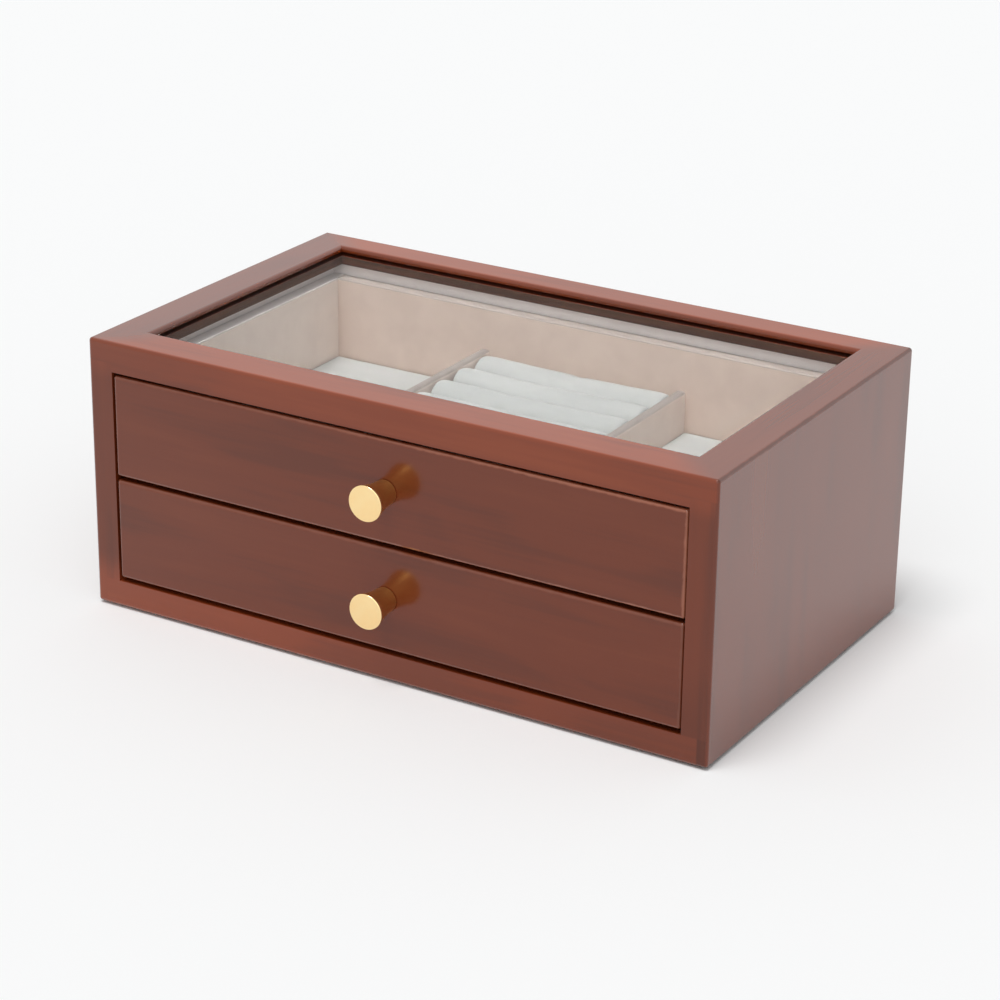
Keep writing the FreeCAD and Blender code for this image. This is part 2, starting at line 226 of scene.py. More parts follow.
class ClothFinish(bpy.types.PropertyGroup):
    """Lining cloth and the velvet of the pads and rolls."""

    suede: colour("Lining", "Colour of the lining cloth", (0.665, 0.533, 0.458))
    suede_deep: colour("Lining nap", "Colour of the lining, brushed down", (0.59, 0.463, 0.398))
    # The side colours are lighter than the lining: painted light on walls and dividers that get less lamp
    # light.
    side: colour("Side lining", "Colour of the cloth on side walls and dividers", (0.815, 0.705, 0.635))
    side_deep: colour("Side nap", "Colour of that cloth, brushed down", (0.73, 0.62, 0.558))
    # The fold and crease colours are darker than the lining: painted shade on the lamp-lit top of the fold,
    # on its crease and on the creases over the side walls.
    fold: colour("Fold", "Colour of the lining on top of the back wall", (0.40, 0.33, 0.295))
    fold_edge: colour("Fold edge", "Colour of the crease along that fold", (0.43, 0.355, 0.318))
    side_edge: colour("Side crease", "Colour of the crease over a side wall", (0.58, 0.51, 0.48))
    # The bay colours are lighter than the lining: painted light for cloth in the shade under the frame. The
    # bay colour also tops the side linings' folds as painted light.
    bay: colour("Bay lining", "Colour of the cloth on the walls of the upper bay", (0.90, 0.83, 0.81))
    bay_deep: colour("Bay nap", "Colour of that cloth, brushed down", (0.82, 0.75, 0.735))
    # Darker cloth over a divider's top edge: painted shade.
    edge: colour("Divider edge", "Colour of the cloth over a divider's top edge", (0.30, 0.255, 0.235))
    velvet: colour("Velvet", "Colour of the velvet", (0.458, 0.454, 0.445))
    velvet_deep: colour("Velvet pile", "Colour between the velvet's rows of pile", (0.393, 0.393, 0.385))
    lining_thickness: length("Lining thickness", "Thickness of the cloth in the drawers", 0.7 * MM)
    bay_thickness: length("Bay lining thickness", "Thickness of the cloth in the upper bay", 0.5 * MM)
    fold_round: length("Fold round", "Radius of the lining's fold over the top of a wall", 0.7 * MM)
    unevenness: length("Unevenness", "How far glued cloth stands off its wall", 0.06 * MM)


class SoftSizes(bpy.types.PropertyGroup):
    """Stuffing of the ring rolls and pads."""

    voxel: length("Cloth cell", "Size of a cloth cell on a ring roll", 1.5 * MM)
    start_inset: length("Start inset", "How much smaller a roll is before it is stuffed", 0.5 * MM)
    roll_variation: length("Roll variation", "How much one roll differs from the next", 0.25 * MM)
    sewing_scale: number("Sewing scale", "How much larger a roll is while it is stuffed", 5.0)
    pressure: number("Stuffing", "Pressure that fills a ring roll", 4.0)
    steps: count("Stuffing steps", "Steps of the stuffing", 20)
    most_swell: length("Most swell", "How far the stuffing may push the cloth out", 0.9 * MM)
    pressed_end: length("Pressed end", "Length of a roll's right end that its divider fills out", 4.0 * MM)
    pad_round: length("Pad round", "Radius of a pad's upper edge", 0.3 * MM)
    pad_cell: length("Pad cell", "Size of a cell on a pad", 2.0 * MM)
    pad_swell: length("Pad swell", "How uneven the top of a pad is", 0.12 * MM)
    divider_round: length("Divider round", "Radius of a divider's upper edges", 1.2 * MM)


class KnobSizes(bpy.types.PropertyGroup):
    """Turned brass knobs."""

    brass: colour("Brass", "Colour of the polished brass", (1.0, 0.76, 0.40))
    brass_deep: colour("Turning lines", "Colour of the brass in the turning lines", (0.99, 0.70, 0.34))
    # The neck's darker brass is painted shade: the neck mirrors the dark drawer front.
    neck: colour("Neck", "Colour of the less polished brass behind the face", (0.74, 0.41, 0.13))
    foot_groove: length("Foot groove", "Depth and width of the groove at the knob's foot", 0.35 * MM)
    face_radius: length("Face radius", "Radius of the flat face", 7.8 * MM)
    base_radius: length("Base radius", "Radius where the knob stands on the drawer front", 5.6 * MM)
    dip: length("Dip", "Hollow of the flared side", 0.6 * MM)
    land: length("Land", "Straight rim behind the face", 0.9 * MM)
    chamfer: length("Chamfer", "Rounding between face and rim", 0.4 * MM)
    turns: count("Steps round", "Steps of the turned shape", 96)
    flare_steps: count("Flare steps", "Steps along the flared side", 12)
    edge_steps: count("Edge steps", "Steps of the rounding between face and rim", 5)


class StageSettings(bpy.types.PropertyGroup):
    """Floor, light and camera."""

    floor: colour("Floor", "Colour of the floor", (0.944, 0.952, 0.954))
    floor_size: length("Floor size", "Side of the square floor", 8.0)
    floor_gap: length("Floor gap", "From the floor to the box, for the dark line between them", 1.0 * MM)
    ambient: number("Room light", "Light from all round", 0.46)
    lamp_strength: number("Lamp", "Strength of the lamp overhead", 1.5)
    lamp_spread: angle("Lamp spread", "How wide that lamp looks, which softens its shadow", radians(24.0))
    lamp_from: direction("Lamp side", "Where the lamp overhead shines from", (-0.04, -0.24, 0.97))
    fill_strength: number("Fill", "Strength of the lamp in front", 0.5)
    fill_spread: angle("Fill spread", "How wide the lamp in front looks", radians(60.0))
    fill_from: direction("Fill side", "Where the lamp in front shines from", (0.35, -0.75, 0.55))
    azimuth: angle("Azimuth", "Camera angle to the right of the front", radians(30.733))
    elevation: angle("Elevation", "Camera angle above the floor", radians(22.373))
    roll: angle("Roll", "Turn of the camera about its own axis", radians(0.789))
    distance: length("Distance", "From the camera to the plane of the base's middle", 1.3074)
    offset_right: offset("To the right", "Camera shift along its right", 0.0012)
    offset_up: offset("Upwards", "Camera shift along its up", 0.0459)
    lens: focal("Lens", "Focal length", 107.106)
    film_width: focal("Film width", "Width of the camera's picture", 36.0)


class JewelryBoxSettings(bpy.types.PropertyGroup):
    """All settings of the jewelry box."""

    wood: PointerProperty(type=WoodFinish)
    cloth: PointerProperty(type=ClothFinish)
    soft: PointerProperty(type=SoftSizes)
    knob: PointerProperty(type=KnobSizes)
    stage: PointerProperty(type=StageSettings)


def settings():
    return bpy.context.scene.jewelry_box


# Small helpers for node trees.


def set_inputs(node, inputs):
    """Links a node's sockets to other nodes' outputs, or sets them to plain values and colours."""
    for socket, value in inputs.items():
        if isinstance(value, bpy.types.NodeSocket):
            node.id_data.links.new(value, node.inputs[socket])
        else:
            node.inputs[socket].default_value = (*value, 1.0) if isinstance(value, Color) else value


def add_node(kind, inputs, **options):
    """Adds a node to the tree that its inputs come from."""
    tree = next(v for v in inputs.values() if isinstance(v, bpy.types.NodeSocket)).id_data
    made = tree.nodes.new("ShaderNode" + kind)
    for option, value in options.items():
        setattr(made, option, value)
    set_inputs(made, inputs)
    return made


def vector_math(operation, first, second=ORIGIN):
    return add_node("VectorMath", {0: first, 1: second}, operation=operation).outputs["Vector"]


def math_node(operation, first, second=0.0, third=0.0):
    inputs = {0: first, 1: second, 2: third}
    return add_node("Math", inputs, operation=operation).outputs["Value"]


def coordinates(vector):
    return add_node("SeparateXYZ", {"Vector": vector}).outputs


def weighted(layers, **weights):
    """The sum of the named layers, each times its weight."""
    total = 0.0
    for layer, weight in weights.items():
        total = math_node("MULTIPLY_ADD", layers[layer], weight, total)
    return total


def stretched(value, low, high, to_low=0.0, to_high=1.0):
    """Goes smoothly from to_low to to_high while the value goes from low to high."""
    inputs = {"Value": value, "From Min": low, "From Max": high, "To Min": to_low, "To Max": to_high}
    return add_node("MapRange", inputs, interpolation_type="SMOOTHSTEP").outputs["Result"]


def spots(vector, scale, detail=2.0, roughness=0.5, distortion=0.0):
    """Cloudy noise with its own scale along each axis."""
    inputs = {
        "Vector": vector_math("MULTIPLY", vector, scale), "Scale": 1.0,
        "Detail": detail, "Roughness": roughness, "Distortion": distortion,
    }
    return add_node("TexNoise", inputs).outputs["Fac"]


def mixed(factor, first, second):
    """Goes from one colour to another."""
    return add_node("Mix", {0: factor, 6: first, 7: second}, data_type="RGBA").outputs[2]


def blend(factor, first, second):
    """Goes from one value to another."""
    return add_node("Mix", {0: factor, 2: first, 3: second}, data_type="FLOAT").outputs[0]


def bump(height, strength, distance):
    inputs = {"Height": height, "Strength": strength, "Distance": distance}
    return add_node("Bump", inputs).outputs["Normal"]


def start_group(name, inputs, outputs):
    tree = bpy.data.node_groups.new(name, "ShaderNodeTree")
    for socket, default in inputs.items():
        kind = "NodeSocketFloat" if isinstance(default, float) else "NodeSocketVector"
        tree.interface.new_socket(name=socket, in_out="INPUT", socket_type=kind).default_value = default
    for socket in outputs:
        tree.interface.new_socket(name=socket, in_out="OUTPUT", socket_type="NodeSocketFloat")
    return tree.nodes.new("NodeGroupInput").outputs, tree.nodes.new("NodeGroupOutput")


def use_group(build, **inputs):
    """Places a shared node group, which is built when it is first asked for."""
    name = build.__name__.replace("_", " ").title()
    if name not in bpy.data.node_groups:
        build(name)
    sockets = {socket.replace("_", " "): value for socket, value in inputs.items()}
    return add_node("Group", sockets, node_tree=bpy.data.node_groups[name]).outputs


def start_material(name):
    material = bpy.data.materials.new(name)
    material.use_nodes = True
    tree = material.node_tree
    place = tree.nodes.new("ShaderNodeTexCoord").outputs["Object"]
    return material, tree.nodes["Principled BSDF"], place


# Node groups that materials share.


def wood_grain(name):
    """Grain that runs along X: broad streaks, fine lines, cloudy figure and pores."""
    given, result = start_group(name, {"Vector": ORIGIN}, ("Streaks", "Lines", "Figure", "Pores"))
    vector = given["Vector"]
    streaks = spots(vector, (6.0, 60.0, 60.0), detail=3.0, roughness=0.55, distortion=0.5)
    lines = spots(vector, (14.0, 520.0, 520.0), roughness=0.6)
    figure = spots(vector, (11.0, 40.0, 40.0), distortion=0.6)
    pores = spots(vector, (110.0, 2300.0, 2300.0), detail=1.0)
    set_inputs(result, {
        "Streaks": stretched(streaks, 0.3, 0.72),
        "Lines": stretched(lines, 0.28, 0.72),
        "Figure": stretched(figure, 0.26, 0.78),
        "Pores": stretched(pores, 0.6, 0.74),
    })


def edge_rub(name):
    """Mask of the edges of a box, where two of the three distances to its faces are small. It places the
    painted shade of the case's edges and the painted highlight of the drawer fronts' edges.
    """
    inputs = {"Vector": ORIGIN, "Centre": ORIGIN, "Half Size": (0.1, 0.1, 0.1), "Width": 1.0 * MM}
    given, result = start_group(name, inputs, ("Rub",))
    from_middle = vector_math("SUBTRACT", given["Vector"], given["Centre"])
    spread = vector_math("ABSOLUTE", from_middle)
    x, y, z = coordinates(vector_math("SUBTRACT", given["Half Size"], spread))
    nearer = math_node("MINIMUM", x, y)
    farther = math_node("MAXIMUM", x, y)
    second = math_node("MAXIMUM", nearer, math_node("MINIMUM", farther, z))
    ragged = spots(given["Vector"], (160.0, 160.0, 160.0), detail=3.0, roughness=0.6)
    width = math_node("MULTIPLY", given["Width"], stretched(ragged, 0.3, 0.7, 0.8, 1.25))
    away = math_node("DIVIDE", second, width)
    set_inputs(result, {"Rub": stretched(away, 0.5, 1.5, 1.0, 0.0)})


def cloth_nap(name):
    """Nap of a short-haired cloth: brushed patches, single hairs and rows of pile."""
    inputs = {"Vector": ORIGIN, "Along": EVENLY}
    given, result = start_group(name, inputs, ("Brushed", "Hairs", "Rows"))
    along = vector_math("MULTIPLY", given["Vector"], given["Along"])
    brushed = spots(along, (70.0, 70.0, 70.0), detail=3.0, roughness=0.6, distortion=0.3)
    rows = spots(along, (420.0, 420.0, 420.0), roughness=0.6)
    set_inputs(result, {
        "Brushed": stretched(brushed, 0.3, 0.7),
        "Hairs": spots(given["Vector"], (2600.0, 2600.0, 2600.0), roughness=0.7),
        "Rows": stretched(rows, 0.25, 0.75),
    })


def case_tone(name):
    """How much stain and gloss each outer face of the case shows, by the place on the case."""
    given, result = start_group(name, {"Vector": ORIGIN}, ("Shade", "Polish", "Upright"))
    half = (cad_box[1] - cad_box[0]) / 2
    top = cad_box[1].z
    base_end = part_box("bottom_panel")[1].x
    base_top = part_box("bottom_panel")[1].z
    x, y, z = coordinates(given["Vector"])
    across = math_node("ABSOLUTE", x)
    along = math_node("ABSOLUTE", y)

    # Masks of the side faces, of the top, and of the short rails beyond the frame's mitres.
    upright = stretched(across, half.x - 1.4 * MM, half.x - 0.4 * MM)
    flat = stretched(z, top - 0.35 * MM, top - 0.05 * MM)
    mitre = half.x - half.y
    past_mitre = math_node("SUBTRACT", across, along)
    past_mitre = stretched(past_mitre, mitre - 12 * MM, mitre + 12 * MM)

    # The front: its stiles, the band under the top, and the edge of the base up to its right end.
    right_stile = stretched(z, base_top, base_top + 42 * MM, *RIGHT_STILE_STAIN)
    stile = blend(stretched(x, -half.x, half.x), LEFT_STILE_STAIN, right_stile)
    band = stretched(x, -half.x, -0.3 * half.x, *BAND_STAIN)
    front = blend(stretched(z, top - 19 * MM, top - 10 * MM), stile, band)
    past_base = stretched(x, base_end - 0.2 * MM, base_end + 0.5 * MM)
    foot = stretched(x, -0.6 * half.x, half.x, *FOOT_STAIN)
    foot = blend(past_base, foot, CORNER_STAIN)
    foot_end = stretched(x, 0.0, 0.9 * half.x, base_top + 14 * MM, base_top + 0.4 * MM)
    front = blend(stretched(z, base_top - 0.4 * MM, foot_end), foot, front)

    rails = blend(past_mitre, LONG_RAIL_STAIN, SHORT_RAIL_STAIN)
    long_rail = stretched(x, 0.0, half.x, *LONG_RAIL_GLOSS)
    short_rail = stretched(x, -half.x, half.x, *SHORT_RAIL_GLOSS)
    rail_gloss = blend(past_mitre, long_rail, short_rail)
    set_inputs(result, {
        "Shade": blend(flat, blend(upright, front, SIDE_STAIN), rails),
        "Polish": blend(flat, blend(upright, 1.0, SIDE_GLOSS), rail_gloss),
        "Upright": upright,
    })


# Materials.


def grain_of(place, along, seat):
    """Wood grain turned along a board's axis and shifted to the board's own seat."""
    inputs = {
        "Vector": place,
        "Location": tuple(step * seat for step in SEAT_STEP),
        "Rotation": GRAIN_TURN[along],
    }
    turned = add_node("Mapping", inputs).outputs["Vector"]
    return use_group(wood_grain, Vector=turned)


def grain_tone(grain):
    """One value from the grain: fine lines, cloudy figure and streaks together."""
    return weighted(grain, Lines=0.16, Figure=0.42, Streaks=0.42)


def lacquer(shader, place, grain, tone, shade, polish, corners, edge, edge_gloss):
    """Stained wood under a clear lacquer, with a painted colour on the edges of the box between the two
    corners: painted shade on the case, a painted highlight on the drawer fronts.
    """
    wood = settings().wood
    deep = mixed(stretched(tone, 0.15, 0.5), wood.stain_deep, wood.stain)
    stained = mixed(stretched(tone, 0.5, 0.9), deep, wood.stain_warm)
    shaded = add_node("VectorMath", {0: stained, "Scale": shade}, operation="SCALE").outputs["Vector"]
    low, high = corners
    painted_edge = use_group(
        edge_rub, Vector=place,
        Centre=(low + high) / 2, Half_Size=(high - low) / 2, Width=wood.rub_width,
    )["Rub"]
    slant = shader.id_data.nodes.new("ShaderNodeLayerWeight").outputs["Facing"]
    gloss = stretched(slant, 0.18, 0.52, wood.gloss_ahead, wood.gloss_aslant)
    gloss = math_node("MULTIPLY", gloss, polish)
    kept = stretched(painted_edge, 0.0, 1.0, 1.0, edge_gloss)
    set_inputs(shader, {
        "Base Color": mixed(math_node("MULTIPLY", painted_edge, PAINTED_EDGE_SHARE), shaded, edge),
        "Roughness": stretched(grain["Lines"], 0.0, 1.0, 0.55, 0.42),
        "Specular IOR Level": 0.0,
        "Coat Weight": math_node("MULTIPLY", gloss, kept),
        "Coat Roughness": wood.lacquer_roughness,
        "Coat IOR": wood.lacquer_index,
        "Normal": bump(weighted(grain, Lines=0.3, Pores=-0.7), 0.08, 0.04 * MM),
    })


def case_wood(name, along, seat):
    """Lacquer of the case, whose side faces run on over the frame without a seam."""
    material, shader, place = start_material(name)
    case = use_group(case_tone, Vector=place)
    grain = grain_of(place, along, seat)
    tone = grain_tone(grain)
    if along == "Y":
        side_tone = grain_tone(grain_of(place, "Z", SIDE_SEAT))
        tone = blend(case["Upright"], tone, side_tone)
    # Darker colour on the case's edges: painted shade.
    edge = settings().wood.case_edge
    lacquer(shader, place, grain, tone, case["Shade"], case["Polish"], cad_box, edge, CASE_EDGE_GLOSS)
    return material


def drawer_wood(name, seat, corners, rubbed):
    """Lacquer of a drawer front, with a painted highlight on its edges that grows lighter towards the right
    end.
    """
    wood = settings().wood
    material, shader, place = start_material(name)
    grain = grain_of(place, "X", seat)
    end = stretched(coordinates(place)["X"], corners[0].x, corners[1].x)
    edge = mixed(end, wood.drawer_edge, rubbed)
    lacquer(shader, place, grain, grain_tone(grain), wood.drawer_shade, 1.0, corners, edge, 1.0)
    return material


def oiled_wood(name, along, seat):
    """Pale wood of the drawer boxes, without lacquer."""
    wood = settings().wood
    material, shader, place = start_material(name)
    grain = grain_of(place, along, seat)
    tone = weighted(grain, Lines=0.5, Streaks=0.5)
    set_inputs(shader, {
        "Base Color": mixed(tone, wood.bare_deep, wood.bare),
        "Roughness": stretched(grain["Lines"], 0.0, 1.0, 0.7, 0.55),
        "Normal": bump(weighted(grain, Lines=1.0, Pores=-1.0), 0.5, 0.06 * MM),
    })
    return material


def bead_wood(name, along, seat, top):
    """Dark strips that hold the glass, stained like the case on top, under the glass."""
    wood = settings().wood
    material, shader, place = start_material(name)
    grain = grain_of(place, along, seat)
    strip = mixed(weighted(grain, Lines=0.6), wood.bead, wood.bead_warm)
    under_glass = stretched(coordinates(place)["Z"], top - 0.2 * MM, top - 0.05 * MM)
    set_inputs(shader, {
        "Base Color": mixed(under_glass, strip, wood.stain),
        "Roughness": stretched(grain["Streaks"], 0.0, 1.0, 0.5, 0.35),
        "Specular IOR Level": 0.2,
        "Normal": bump(grain["Lines"], 0.5, 0.08 * MM),
    })
    return material


def suede_cloth(name, colours, along=EVENLY, bands=(), tone=NAP_TONE, pile=NAP_PILE):
    """Short-napped cloth. Each band gives it another colour from one height to the next and above."""
    material, shader, place = start_material(name)
    nap = use_group(cloth_nap, Vector=place, Along=along)
    shown = mixed(weighted(nap, **tone), colours[0], colours[1])
    for low, high, own in bands:
        above = stretched(coordinates(place)["Z"], low, high)
        shown = mixed(above, shown, own)
    set_inputs(shader, {
        "Base Color": shown,
        "Roughness": stretched(nap["Brushed"], 0.0, 1.0, 0.98, 0.86),
        "Specular IOR Level": 0.2,
        "Sheen Weight": 0.15,
        "Sheen Roughness": 0.5,
        "Normal": bump(weighted(nap, **pile), 0.5, 0.12 * MM),
    })
    return material


def set_material(node, material):
    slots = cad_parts[node].material_slots
    if not slots:
        raise RuntimeError(f"{node} has no material slot")
    for slot in slots:
        slot.material = material


# Small helpers for meshes.


def put_in_scene(name, data):
    made = bpy.data.objects.new(name, data)
    bpy.context.scene.collection.objects.link(made)
    return made


def mesh_of(name, bm):
    mesh = bpy.data.meshes.new(name)
    bm.to_mesh(mesh)
    bm.free()
    return mesh


def add_piece(name, mesh, material, body, node, sharp_over=None):
    """Puts a finished mesh in the place of a CAD node, on the body that carries it."""
    mesh.name = name
    mesh.materials.clear()
    mesh.materials.append(material)
    mesh.shade_smooth()
    if sharp_over is not None:
        mesh.set_sharp_from_angle(angle=sharp_over)
    piece = put_in_scene(name, mesh)
    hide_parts(node)
    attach(piece, body)
    return piece


def ruffle(bm, verts, amount, seed, wave=12 * MM):
    """Moves points along their normals by a smooth noise, to both sides."""
    bm.normal_update()
    shift = SEED_STEP * seed
    moves = [(v, v.normal * (amount * noise.noise(v.co / wave + shift))) for v in verts]
    for v, move in moves:
        v.co += move


def round_edges(bm, edges, radius, segments):
    bmesh.ops.bevel(
        bm, geom=edges, offset=radius, offset_type="OFFSET", segments=segments, profile=0.5,
        affect="EDGES", material=-1,
    )


def draw_out(bm, extruded, by):
    """Moves the points that an extrusion has just made."""
    made = [g for g in extruded["geom"] if isinstance(g, bmesh.types.BMVert)]
    bmesh.ops.translate(bm, verts=made, vec=by)


def face_towards(bm, facing):
    bm.normal_update()
    largest = max(bm.faces, key=lambda f: f.calc_area())
    if largest.normal.dot(facing) < 0:
        bmesh.ops.reverse_faces(bm, faces=bm.faces[:])


def reach(edge):
    """How far an edge reaches along each axis."""
    first, second = edge.verts
    return Vector(map(abs, first.co - second.co))


def at_height(edge, height):
    return min(v.co.z for v in edge.verts) > height - NEAR


def folded_cloth(section, run, facing, fold_round, cuts):
    """A sheet whose section is a bent line, drawn along run, with its face towards facing."""
    bm = bmesh.new()
    verts = [bm.verts.new(point) for point in section]
    edges = [bm.edges.new(pair) for pair in zip(verts, verts[1:])]
    draw_out(bm, bmesh.ops.extrude_edge_only(bm, edges=edges), run)
    folds = [e for e in bm.edges if len(e.link_faces) == 2]
    if folds:
        round_edges(bm, folds, fold_round, ROUND_STEPS)
    bmesh.ops.subdivide_edges(bm, edges=bm.edges[:], cuts=cuts, use_grid_fill=True)
    face_towards(bm, facing)
    return bm


class JEWELRYBOX_OT_case(bpy.types.Operator):
    """Stain and lacquer the case, the glass frame and its beads"""

    bl_idname = "jewelry_box.case"
    bl_label = "Lacquer the case"

    def execute(self, context):
        for node, (along, seat) in CASE_BOARDS.items():
            set_material(node, case_wood(f"Lacquered {node}", along, seat))
        for node, (along, seat) in GLASS_BEADS.items():
            set_material(node, bead_wood(f"Dark {node}", along, seat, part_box(node)[1].z))
        for node, (along, seat) in HIDDEN_BOARDS.items():
            set_material(node, oiled_wood(f"Oiled {node}", along, seat))
        return {"FINISHED"}


class JEWELRYBOX_OT_glass(bpy.types.Operator):
    """Clear glass in the top frame, with faint wipe marks"""

    bl_idname = "jewelry_box.glass"
    bl_label = "Glaze the top"

    def execute(self, context):
        material, shader, place = start_material("Clear glass")
        wiped = spots(place, (40.0, 9.0, 40.0), detail=4.0, roughness=0.6, distortion=1.0)
        set_inputs(shader, {
            "Base Color": GLASS_TINT,
            "Roughness": stretched(wiped, 0.5, 0.9, 0.0, 0.05),
            "Transmission Weight": 1.0,
            "IOR": GLASS_INDEX,
        })
        nodes = material.node_tree.nodes
        clear = nodes.new("ShaderNodeBsdfTransparent")
        set_inputs(clear, {"Color": GLASS_SHADOW})
        shadow = nodes.new("ShaderNodeLightPath").outputs["Is Shadow Ray"]
        both = {"Fac": shadow, 1: shader.outputs["BSDF"], 2: clear.outputs["BSDF"]}
        either = add_node("MixShader", both).outputs["Shader"]
        set_inputs(nodes["Material Output"], {"Surface": either})
        set_material("glass_panel", material)
        return {"FINISHED"}


class JEWELRYBOX_OT_drawers(bpy.types.Operator):
    """Stain the drawer fronts and oil the drawer boxes"""

    bl_idname = "jewelry_box.drawers"
    bl_label = "Finish the drawers"

    def execute(self, context):
        wood = settings().wood
        steel = self.screw_steel()
        for order, drawer in enumerate(DRAWERS):
            seat = DRAWER_SEAT + SEATS_IN_DRAWER * order
            front = f"{drawer}_drawer_front"
            # Painted highlight on the drawer fronts' edges: on the upper drawer it grows towards the right
            # end, on the lower drawer it stays weak all along.
            rubbed = wood.rubbed if drawer == "upper" else wood.drawer_edge
            set_material(front, drawer_wood(f"Lacquered {front}", seat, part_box(front), rubbed))
            for board, (along, after_front) in DRAWER_BOARDS.items():
                node = f"{drawer}_drawer_{board}"
                set_material(node, oiled_wood(f"Oiled {node}", along, seat + after_front))
            set_material(f"{drawer}_knob_screw", steel)
        return {"FINISHED"}

    def screw_steel(self):
        material, shader, place = start_material("Screw steel")
        worn = spots(place, (900.0, 300.0, 900.0), detail=3.0)
        set_inputs(shader, {
            "Base Color": mixed(stretched(worn, 0.3, 0.7), STEEL_WORN, STEEL),
            "Roughness": stretched(worn, 0.3, 0.7, 0.3, 0.5),
            "Metallic": 1.0,
        })
        return material


class JEWELRYBOX_OT_knobs(bpy.types.Operator):
    """Turn the two brass knobs"""

    bl_idname = "jewelry_box.knobs"
    bl_label = "Turn the knobs"

    def execute(self, context):
        for drawer in DRAWERS:
            node = f"{drawer}_knob"
            low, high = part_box(node)
            middle = (low + high) / 2
            shape = mesh_of(node, self.turned(middle, low.y, high.y))
            brass = self.brass(f"Turned brass {drawer}", middle, low.y)
            knob = add_piece(
                f"brass_knob_{drawer}", shape, brass, f"{drawer}_drawer", node, KNOB_CREASE
            )
            knob.visible_shadow = False
        return {"FINISHED"}

    def turned(self, middle, face, foot):
        """The knob's outline from its face to its foot, spun about its own axis."""
        size = settings().knob
        groove = size.foot_groove
        rim = face + size.land
        neck = foot - groove
        stem = size.base_radius - groove
        round_edge = []
        for step in range(size.edge_steps + 1):
            turn = pi * step / (2 * size.edge_steps)
            radius = size.face_radius - size.chamfer * (1 - sin(turn))
            round_edge.append(Vector((radius, face + size.chamfer * (1 - cos(turn)))))
        hollow = (size.face_radius + size.base_radius) / 2 - 2 * size.dip
        start = Vector((size.face_radius, rim))
        bend = Vector((hollow, (rim + neck) / 2))
        end = Vector((size.base_radius, neck))
        flare = []
        for step in range(size.flare_steps + 1):
            done = step / size.flare_steps
            flare.append(start.lerp(bend, done).lerp(bend.lerp(end, done), done))
        back = [Vector((stem, neck)), Vector((stem, neck + groove)), Vector((0.0, neck + groove))]
        outline = [Vector((0.0, face)), *round_edge, *flare, *back]

        bm = bmesh.new()
        verts = [bm.verts.new((middle.x + radius, y, middle.z)) for radius, y in outline]
        edges = [bm.edges.new(pair) for pair in zip(verts, verts[1:])]
        bmesh.ops.spin(
            bm, geom=verts + edges, cent=(middle.x, 0.0, middle.z), axis=(0.0, 1.0, 0.0), angle=2 * pi,
            steps=size.turns, use_merge=True,
        )
        bmesh.ops.remove_doubles(bm, verts=bm.verts[:], dist=0.002 * MM)
        bmesh.ops.recalc_face_normals(bm, faces=bm.faces[:])
        return bm

    def brass(self, name, middle, face):
        """Polished brass with faint turning lines round the knob's axis, and painted shade as darker brass
        on the neck behind the face.
        """
        size = settings().knob
        material, shader, place = start_material(name)
        to_axis = {"Vector": place, "Location": (-middle.x, 0.0, -middle.z)}
        own = add_node("Mapping", to_axis).outputs["Vector"]
        flat = vector_math("MULTIPLY", own, (1.0, 0.0, 1.0))
        radius = add_node("VectorMath", {0: flat}, operation="LENGTH").outputs["Value"]
        depth = coordinates(own)["Y"]
        ring_place = add_node("CombineXYZ", {"X": radius, "Y": depth}).outputs["Vector"]
        layers = {
            "rings": spots(ring_place, (5200.0, 5200.0, 1.0), roughness=0.6),
            "clouds": spots(own, (150.0, 150.0, 150.0), detail=3.0, roughness=0.6),
        }
        tone = weighted(layers, clouds=0.5, rings=0.5)
        polished = mixed(stretched(tone, 0.3, 0.7), size.brass_deep, size.brass)
        # Behind the face the brass turns darker: painted shade.
        behind = stretched(depth, face + size.chamfer, face + 2 * size.land)
        blur = stretched(tone, 0.3, 0.7, 0.26, 0.16)
        set_inputs(shader, {
            "Base Color": mixed(behind, polished, size.neck),
            "Roughness": math_node("MULTIPLY_ADD", behind, 0.14, blur),
            "Metallic": 1.0,
            "Normal": bump(layers["rings"], 0.12, 0.02 * MM),
        })
        return material


